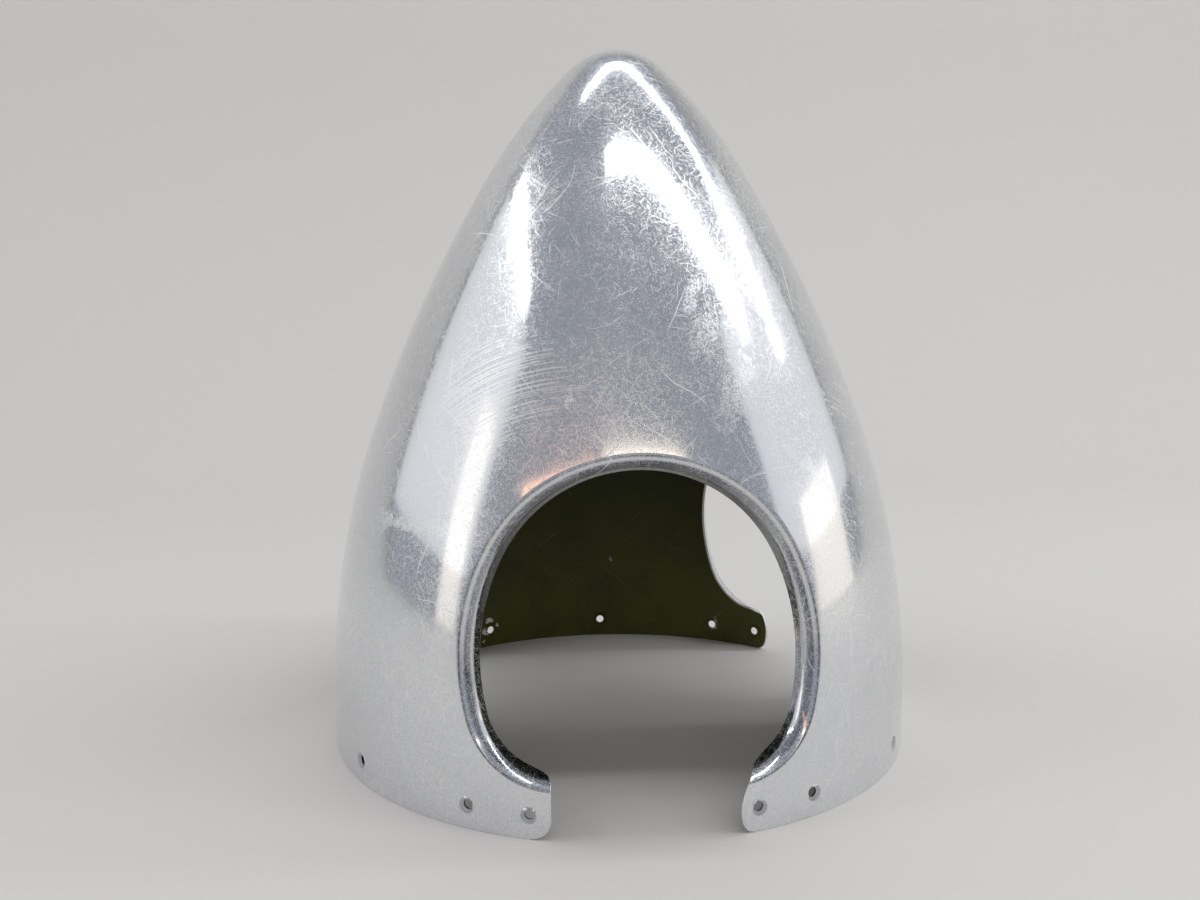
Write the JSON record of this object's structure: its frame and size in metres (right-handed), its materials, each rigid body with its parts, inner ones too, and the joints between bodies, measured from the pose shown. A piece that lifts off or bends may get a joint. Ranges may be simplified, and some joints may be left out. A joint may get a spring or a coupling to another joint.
{
  "type": "propeller spinner",
  "caption": "Polished one-piece ogive spinner dome for a propeller hub, with flanged blade openings, tabbed skirts and dimpled screw holes round its open base.",
  "frame": {"origin": "on the spin axis, in the plane of the base edge", "axes": "+Z along the spin axis to the nose; the middle of one blade opening faces -Y"},
  "size_m": [0.34, 0.3336, 0.397],
  "materials": {
    "shell": "outside buffed bright with fine scratches, inside olive green primer"
  },
  "bodies": {
    "root": {"spinner_shell": "shell"}
  },
  "joints": []
}
